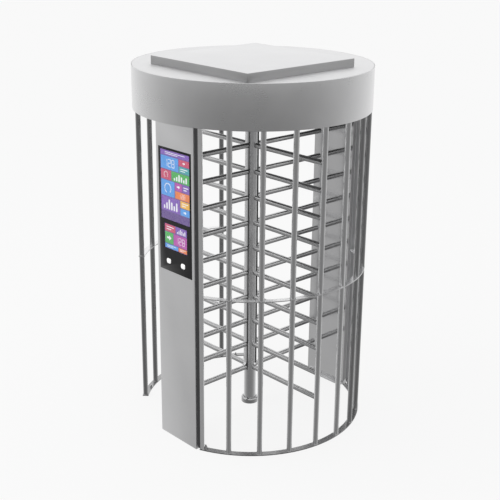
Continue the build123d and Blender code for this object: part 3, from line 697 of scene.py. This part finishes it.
def make_buttons():
    """The two white push buttons with softened edges."""
    soft = 0.0014
    for side in ("left", "right"):
        low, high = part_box(f"{side}_button")
        centre, size = button_face(side)
        button = bmesh.new()
        add_slab(button, rounded_rectangle(centre, size, BUTTON_CORNER), low.y, high.y)
        rim = [
            edge for edge in button.edges
            if all(abs(vertex.co.y - low.y) < SAME_LEVEL for vertex in edge.verts)
        ]
        bmesh.ops.bevel(button, geom=rim, offset=soft, segments=3, affect="EDGES", profile=0.5)
        piece(f"{side}_push_button", button, "white_plastic", f"{side}_button", [f"{side}_button"])


SCREEN_COLOURS = {
    "screen_dark": (0.10, 0.03, 0.26),
    "card_rose": (0.62, 0.03, 0.13),
    "card_sky": (0.05, 0.33, 0.86),
    "card_teal": (0.01, 0.38, 0.42),
    "card_violet": (0.20, 0.07, 0.50),
    "card_green": (0.03, 0.44, 0.06),
    "card_magenta": (0.50, 0.03, 0.42),
    "card_orange": (0.88, 0.20, 0.02),
    "card_amber": (0.95, 0.50, 0.02),
    "card_white": (0.95, 0.96, 1.0),
}

SCREEN_BRIGHTNESS = 0.85

# Cards of each screen: colour, left, bottom, right, top (as parts of the screen), and their mark
MAIN_CARDS = (
    ("card_violet", 0.0, 0.93, 1.0, 1.0, "lines"),
    ("card_sky", 0.0, 0.73, 0.62, 0.92, "count"),
    ("card_rose", 0.64, 0.83, 1.0, 0.92, "arrow"),
    ("card_teal", 0.64, 0.73, 1.0, 0.82, "lines"),
    ("card_rose", 0.0, 0.58, 0.36, 0.72, "ring"),
    ("card_green", 0.38, 0.58, 1.0, 0.72, "bars"),
    ("card_sky", 0.0, 0.34, 0.48, 0.57, "ring"),
    ("card_magenta", 0.50, 0.46, 0.74, 0.57, "arrow"),
    ("card_violet", 0.76, 0.46, 1.0, 0.57, "lines"),
    ("card_orange", 0.50, 0.34, 1.0, 0.45, "count"),
    ("card_violet", 0.0, 0.12, 0.66, 0.33, "bars"),
    ("card_amber", 0.68, 0.23, 1.0, 0.33, "lines"),
    ("card_sky", 0.68, 0.12, 1.0, 0.22, "arrow"),
)
LOWER_CARDS = (
    ("card_rose", 0.0, 0.70, 0.48, 1.0, "lines"),
    ("card_violet", 0.50, 0.70, 1.0, 1.0, "bars"),
    ("card_green", 0.0, 0.20, 0.38, 0.67, "arrow"),
    ("card_magenta", 0.40, 0.20, 1.0, 0.67, "count"),
    ("card_sky", 0.0, 0.0, 0.60, 0.17, "lines"),
    ("card_orange", 0.62, 0.0, 1.0, 0.17, "lines"),
)

# Which bars of each seven-bar digit are lit: top, middle, bottom, then upper left, upper right,
# lower left and lower right
DIGITS = ("0000101", "1110110", "1111111")


def make_screen_materials():
    """A lit material for each colour of the screens."""
    for name, colour in SCREEN_COLOURS.items():
        MATERIALS[name] = lit_pixels(name, colour, SCREEN_BRIGHTNESS)


def add_bar(mesh, centre, size, front):
    """One plain rounded bar of a mark on a card."""
    radius = 0.3 * min(size)
    add_slab(mesh, rounded_rectangle(centre, size, radius, 3), front - GAP, front)


def mark_lines(mesh, centre, size, front):
    """A short and a long bar, like two lines of a list."""
    for share, offset in ((0.7, 0.16), (0.45, -0.16)):
        left = centre[0] - 0.35 * size[0]
        middle = (left + share * size[0] / 2, centre[1] + offset * size[1])
        add_bar(mesh, middle, (share * size[0], 0.12 * size[1]), front)


def mark_bars(mesh, centre, size, front):
    """A bar chart of the visitors in each hour."""
    heights = (0.25, 0.45, 0.7, 0.55, 0.35, 0.6)
    pitch = 0.8 * size[0] / len(heights)
    for index, height in enumerate(heights):
        across = centre[0] + (index - (len(heights) - 1) / 2) * pitch
        middle = (across, centre[1] + (height / 2 - 0.38) * size[1])
        add_bar(mesh, middle, (0.55 * pitch, height * size[1]), front)


def mark_ring(mesh, centre, size, front):
    """A ring gauge of short bars."""
    radius = 0.3 * min(size)
    for step in range(16):
        angle = math.radians(-40 + 280 * step / 15)
        middle = (centre[0] + radius * math.cos(angle), centre[1] + radius * math.sin(angle))
        add_bar(mesh, middle, (0.24 * radius, 0.24 * radius), front)


def mark_arrow(mesh, centre, size, front):
    """An arrow that points the way through."""
    reach = 0.3 * min(size)
    outline = [(-1, -0.3), (0, -0.3), (0, -0.8), (1, 0), (0, 0.8), (0, 0.3), (-1, 0.3)]
    points = [(centre[0] + reach * x, centre[1] + reach * z) for x, z in outline]
    add_slab(mesh, points, front - GAP, front)


def mark_count(mesh, centre, size, front):
    """Three digits of seven bars each."""
    tall = 0.56 * size[1]
    wide = 0.5 * tall
    thick = 0.16 * wide
    bars = [((0, part), (wide, thick)) for part in (0.5, 0, -0.5)]
    bars += [((side, part), (thick, 0.44 * tall)) for part in (0.25, -0.25) for side in (-0.5, 0.5)]
    for index, digit in enumerate(DIGITS):
        middle = centre[0] + (index - 1) * wide * 1.5
        for lit, (place, bar_size) in zip(digit, bars):
            if lit == "1":
                bar_centre = (middle + place[0] * wide, centre[1] + place[1] * tall)
                add_bar(mesh, bar_centre, bar_size, front)


MARKS = {
    "lines": mark_lines,
    "bars": mark_bars,
    "ring": mark_ring,
    "arrow": mark_arrow,
    "count": mark_count,
}


def make_screen(name, cards):
    """A dark background with coloured cards and their plain marks, behind the glass."""
    low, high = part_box(name)
    border = 0.004
    margin = 0.003
    depth = 0.001
    corner = 0.002
    low = Vector((low.x + border, low.y, low.z + border))
    high = Vector((high.x - border, high.y, high.z - border))
    lit = bmesh.new()
    add_rounded_box(lit, (low.x, low.y - GAP, low.z), (high.x, low.y + depth, high.z), CRISP_EDGE, 1)
    piece(f"{name}_lit_area", lit, "screen_dark", BODY)
    front = low.y - 2 * GAP
    width = high.x - low.x - 2 * margin
    height = high.z - low.z - 2 * margin
    meshes = {"card_white": bmesh.new()}
    for colour, left, lower, right, upper, mark in cards:
        across = low.x + margin + width * (left + right) / 2
        centre = (across, low.z + margin + height * (lower + upper) / 2)
        size = (width * (right - left), height * (upper - lower))
        card = meshes.setdefault(colour, bmesh.new())
        add_slab(card, rounded_rectangle(centre, size, corner, 3), front, low.y - GAP)
        MARKS[mark](meshes["card_white"], centre, size, front)
    for colour, mesh in sorted(meshes.items()):
        piece(f"{name}_{colour}", mesh, colour, BODY)
    low.y = front
    return low, high


def make_glass(windows):
    """The printed glass with a clear window over each display and holes for the buttons."""
    low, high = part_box("screen_glass")
    edge = 0.0007
    inset = 0.0001
    glass = bmesh.new()
    add_rounded_box(glass, low, high, edge, 2)
    sheet = piece("printed_glass_sheet", glass, "dark_glass", BODY, ["screen_glass"])
    holes = bmesh.new()
    for window_low, window_high in windows:
        add_window(holes, window_low, window_high, low.y - REACH, high.y + REACH)
    for side in ("left", "right"):
        centre, size = button_face(side)
        opening = [length + 2 * BUTTON_GAP for length in size]
        outline = rounded_rectangle(centre, opening, BUTTON_CORNER + BUTTON_GAP)
        add_slab(holes, outline, low.y - REACH, high.y + REACH)
    cut(sheet, holes)
    for index, (window_low, window_high) in enumerate(windows, start=1):
        pane = bmesh.new()
        first = (window_low.x, low.y + inset, window_low.z)
        last = (window_high.x, high.y - 3 * GAP, window_high.z)
        add_rounded_box(pane, first, last, 2 * CRISP_EDGE, 1)
        piece(f"clear_window_{index}", pane, "clear_glass", BODY)


def add_window(mesh, low, high, front, back):
    """A prism that cuts the window of one display."""
    corner = 0.001
    centre = ((low.x + high.x) / 2, (low.z + high.z) / 2)
    size = (high.x - low.x, high.z - low.z)
    add_slab(mesh, rounded_rectangle(centre, size, corner, 3), front, back)


def column_tray(name, housing_node, panel_node):
    """A folded sheet tray with soft upright edges, open where its closing panel sits."""
    low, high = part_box(housing_node)
    panel_low, panel_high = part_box(panel_node)
    sheet = panel_high.y - panel_low.y
    fold = 0.0018
    housing = bmesh.new()
    add_rounded_box(housing, low, high, fold, 4, upright_edges)
    tray = piece(name, housing, "flat_steel", BODY, [housing_node])
    pocket = bmesh.new()
    depth = (low.y - REACH, high.y - sheet) if panel_low.y > 0 else (low.y + sheet, high.y + REACH)
    first = (panel_low.x - GAP, depth[0], panel_low.z - GAP)
    last = (panel_high.x + GAP, depth[1], panel_high.z + GAP)
    add_rounded_box(pocket, first, last, CRISP_EDGE, 1)
    cut(tray, pocket)
    return tray, low


def make_column_housings():
    """Both columns; the one with the screens has a recess for the glass."""
    rear_cover = "screen_column_rear_cover"
    column, low = column_tray("screen_column_folded", "screen_column_housing", rear_cover)
    glass_low, glass_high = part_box("screen_glass")
    reveal = 0.0008
    recess = bmesh.new()
    first = (glass_low.x - reveal, low.y - REACH, glass_low.z - reveal)
    last = (glass_high.x + reveal, glass_high.y, glass_high.z + reveal)
    add_rounded_box(recess, first, last, CRISP_EDGE, 1)
    cut(column, recess)
    column_tray("plain_column_folded", "plain_column_housing", "polished_inner_panel")


# ---------------------------------------------------------------- light, floor and camera

# Brightness of the studio round the object
FRONT_LIGHT = 0.27
BACK_LIGHT = 1.1
TOP_LIGHT = 1.25
LOW_LIGHT = 0.14
BACKDROP = 0.93
FLOOR_GLOW = 0.86
FLOOR_COLOUR = (0.07, 0.07, 0.07, 1)


def make_world(front):
    """A soft white studio, darker towards the front and below, with a plain pale backdrop."""
    world = bpy.data.worlds.new("studio")
    bpy.context.scene.world = world
    world.use_nodes = True
    tree = world.node_tree
    tree.nodes.clear()
    output = tree.nodes.new("ShaderNodeOutputWorld")
    background = tree.nodes.new("ShaderNodeBackground")
    tree.links.new(background.outputs["Background"], output.inputs["Surface"])
    direction = tree.nodes.new("ShaderNodeTexCoord")
    flat = tree.nodes.new("ShaderNodeVectorMath")
    flat.operation = "MULTIPLY"
    flat.inputs[1].default_value = (1, 1, 0)
    unit = tree.nodes.new("ShaderNodeVectorMath")
    unit.operation = "NORMALIZE"
    facing = tree.nodes.new("ShaderNodeVectorMath")
    facing.operation = "DOT_PRODUCT"
    facing.inputs[1].default_value = front
    tree.links.new(direction.outputs["Generated"], flat.inputs[0])
    tree.links.new(flat.outputs["Vector"], unit.inputs[0])
    tree.links.new(unit.outputs["Vector"], facing.inputs[0])
    height = tree.nodes.new("ShaderNodeSeparateXYZ")
    tree.links.new(direction.outputs["Generated"], height.inputs["Vector"])
    behind = map_range(tree, facing.outputs["Value"], (1, -1), (0, 1))
    curve = tree.nodes.new("ShaderNodeMath")
    curve.operation = "POWER"
    curve.inputs[1].default_value = 1.6
    tree.links.new(behind, curve.inputs[0])
    around = map_range(tree, curve.outputs["Value"], (0, 1), (FRONT_LIGHT, BACK_LIGHT))
    above = map_range(tree, height.outputs["Z"], (-0.05, 0.35), (0, 1))
    upper = mix(tree, above, around, TOP_LIGHT)
    below = map_range(tree, height.outputs["Z"], (-0.55, -0.85), (0, 1))
    total = mix(tree, below, upper, LOW_LIGHT)
    seen = tree.nodes.new("ShaderNodeLightPath")
    backdrop = mix(tree, seen.outputs["Is Camera Ray"], total, BACKDROP)
    tree.links.new(backdrop, background.inputs["Strength"])
    background.inputs["Color"].default_value = (1, 1, 1, 1)


def map_range(tree, value, source, target):
    """Maps a value linearly from the source range to the target range, within its limits."""
    node = tree.nodes.new("ShaderNodeMapRange")
    node.clamp = True
    node.inputs["From Min"].default_value = source[0]
    node.inputs["From Max"].default_value = source[1]
    node.inputs["To Min"].default_value = target[0]
    node.inputs["To Max"].default_value = target[1]
    tree.links.new(value, node.inputs["Value"])
    return node.outputs["Result"]


def mix(tree, factor, first, second):
    """first where factor is 0, the number second where it is 1."""
    node = tree.nodes.new("ShaderNodeMix")
    node.data_type = "FLOAT"
    tree.links.new(factor, node.inputs["Factor"])
    tree.links.new(first, node.inputs["A"])
    node.inputs["B"].default_value = second
    return node.outputs["Result"]


def make_floor():
    """A wide pale floor with only a faint contact shadow."""
    size = 80
    level = cad_box[0][2] - 0.0005
    data = bpy.data.meshes.new("floor")
    corners = [(-size, -size, level), (size, -size, level), (size, size, level), (-size, size, level)]
    data.from_pydata(corners, [], [(0, 1, 2, 3)])
    floor = bpy.data.objects.new("floor", data)
    bpy.context.scene.collection.objects.link(floor)
    material, _, shader = node_material("pale_floor")
    shader.inputs["Base Color"].default_value = FLOOR_COLOUR
    shader.inputs["Roughness"].default_value = 1.0
    shader.inputs["Specular IOR Level"].default_value = 0.0
    shader.inputs["Emission Color"].default_value = (1, 1, 1, 1)
    shader.inputs["Emission Strength"].default_value = FLOOR_GLOW
    data.materials.append(material)
    floor.visible_glossy = False
    floor.visible_diffuse = False


def make_camera():
    """A viewpoint above eye level, towards the corner of column and large cage. It returns
    the level direction from the object to the camera."""
    place = Vector((4.515, -4.181, 3.247))
    tilt = math.radians(70.655)
    heading = math.radians(47.268)
    roll = math.radians(0.538)
    data = bpy.data.cameras.new("camera")
    data.sensor_width = 36
    data.lens = 72.31
    camera = bpy.data.objects.new("camera", data)
    bpy.context.scene.collection.objects.link(camera)
    aim = Euler((tilt, 0, heading)).to_matrix().to_4x4()
    camera.matrix_world = Matrix.Translation(place) @ aim @ Matrix.Rotation(roll, 4, "Z")
    bpy.context.scene.camera = camera
    return Vector((place.x, place.y, 0)).normalized()


def make_light():
    """One large soft light overhead."""
    place = (-1.5, -2.0, 5.0)
    data = bpy.data.lights.new("soft_overhead", "AREA")
    data.shape = "DISK"
    data.size = 3.0
    data.energy = 60
    light = bpy.data.objects.new("soft_overhead", data)
    bpy.context.scene.collection.objects.link(light)
    tilt = Euler((0.35, -0.3, 0)).to_matrix().to_4x4()
    light.matrix_world = Matrix.Translation(place) @ tilt
    light.visible_glossy = False


dress_cad_nodes()
make_screen_materials()
make_canopy()
make_cage_tubes()
make_strap_seals_and_shadows()
make_wings()
make_pole()
make_corner_shadow_lines()
make_foot()
make_buttons()
main_window = make_screen("main_display", MAIN_CARDS)
lower_window = make_screen("lower_display", LOWER_CARDS)
make_glass([main_window, lower_window])
make_column_housings()
make_world(make_camera())
make_floor()
make_light()
bpy.context.scene.view_settings.view_transform = "Standard"
